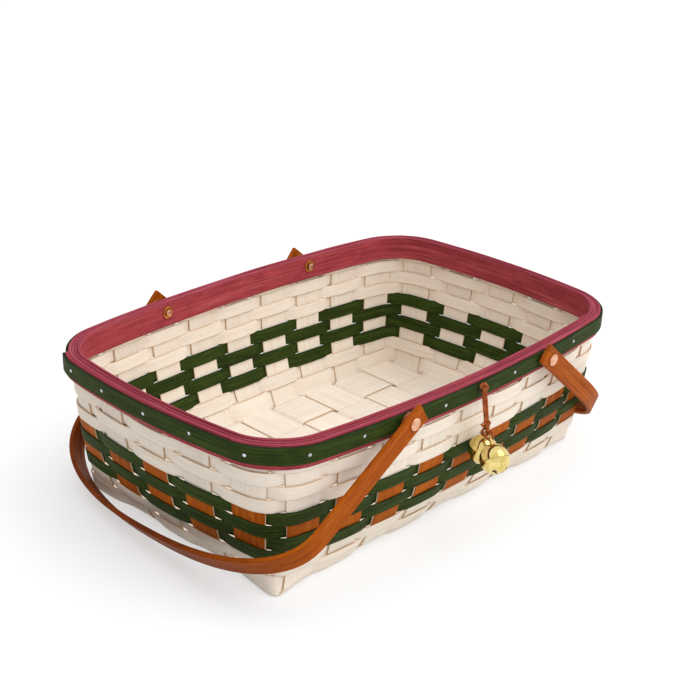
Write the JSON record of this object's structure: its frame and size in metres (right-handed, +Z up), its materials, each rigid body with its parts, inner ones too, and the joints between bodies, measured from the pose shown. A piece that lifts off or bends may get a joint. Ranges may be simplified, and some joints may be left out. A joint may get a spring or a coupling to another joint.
{
  "type": "gathering basket",
  "caption": "Open rectangular woven splint basket with flared sides, a banded rim, riveted swing handles at both ends and bells on a leather lace.",
  "frame": {"origin": "middle of the base, on the surface it stands on", "axes": "+X along the long side, +Z up; the long side with the bells faces -Y"},
  "size_m": [0.5295, 0.3928, 0.1617],
  "materials": {
    "splint": "natural, lightly sealed",
    "green_splint": "stained green, satin",
    "red_band": "stained red, satin",
    "handle_wood": "stained brown, satin",
    "copper": "brushed copper",
    "brass": "polished",
    "lace": "matt"
  },
  "bodies": {
    "basket": {"cross_splint_1": "splint", "cross_splint_2": "splint", "cross_splint_3": "splint", "cross_splint_4": "splint", "cross_splint_5": "splint", "cross_splint_6": "splint", "cross_splint_7": "splint", "cross_splint_8": "splint", "cross_splint_9": "splint", "long_splint_1": "splint", "long_splint_2": "splint", "long_splint_3": "splint", "long_splint_4": "splint", "long_splint_5": "splint", "weaver_1": "splint", "weaver_2": "splint", "weaver_3": "green_splint", "weaver_4": "green_splint", "weaver_5": "green_splint", "weaver_6": "green_splint", "weaver_7": "splint", "weaver_8": "splint", "weaver_9": "splint", "weaver_10": "splint", "weaver_11": "splint", "inner_band": "red_band", "outer_band": "red_band", "trim_strip": "green_splint", "spacer_left_front": "handle_wood", "washer_left_front": "brass", "rivet_left_front": "copper", "spacer_left_back": "handle_wood", "washer_left_back": "brass", "rivet_left_back": "copper", "spacer_right_front": "handle_wood", "washer_right_front": "brass", "rivet_right_front": "copper", "spacer_right_back": "handle_wood", "washer_right_back": "brass", "rivet_right_back": "copper", "lace_knot_top": "lace"},
    "handle_left": {"handle_left": "handle_wood"},
    "handle_right": {"handle_right": "handle_wood"},
    "bell_lace": {"lace_strand_1": "lace", "lace_strand_2": "lace", "lace_knot_low": "lace"},
    "bell_1": {"bell_1_top": "brass", "bell_1_bottom": "brass", "bell_1_tie": "lace"},
    "bell_2": {"bell_2_top": "brass", "bell_2_bottom": "brass", "bell_2_tie": "lace"},
    "pea_1": {"bell_1_pea": "brass"},
    "pea_2": {"bell_2_pea": "brass"}
  },
  "joints": [
    {"name": "handle_left_swing", "type": "hinge", "parent": "basket", "child": "handle_left", "pos_m": [-0.1019, 0, 0.144], "axis": [0, 1, 0], "range_deg": [0, 150]},
    {"name": "handle_right_swing", "type": "hinge", "parent": "basket", "child": "handle_right", "pos_m": [0.1019, 0, 0.144], "axis": [0, -1, 0], "range_deg": [0, 151]},
    {"name": "lace_swing", "type": "hinge", "parent": "basket", "child": "bell_lace", "pos_m": [-0.0055, -0.17576, 0.1475], "axis": [-1, 0, 0], "range_deg": [0, 70]},
    {"name": "bell_1_swing", "type": "hinge", "parent": "bell_lace", "child": "bell_1", "pos_m": [-0.0055, -0.18244, 0.11314], "axis": [0.8695, -0.4848, 0.0942], "range_deg": [0, 3]},
    {"name": "bell_2_swing", "type": "hinge", "parent": "bell_lace", "child": "bell_2", "pos_m": [-0.0055, -0.18244, 0.11314], "axis": [-0.8695, 0.4848, -0.0942], "range_deg": [0, 60]},
    {"name": "pea_1_roll", "type": "slide", "parent": "bell_1", "child": "pea_1", "axis": [-0.2197, -0.2087, 0.953], "range_m": [0, 0.015]},
    {"name": "pea_2_roll", "type": "slide", "parent": "bell_2", "child": "pea_2", "axis": [0.2197, 0.5505, 0.8054], "range_m": [0, 0.015]}
  ]
}
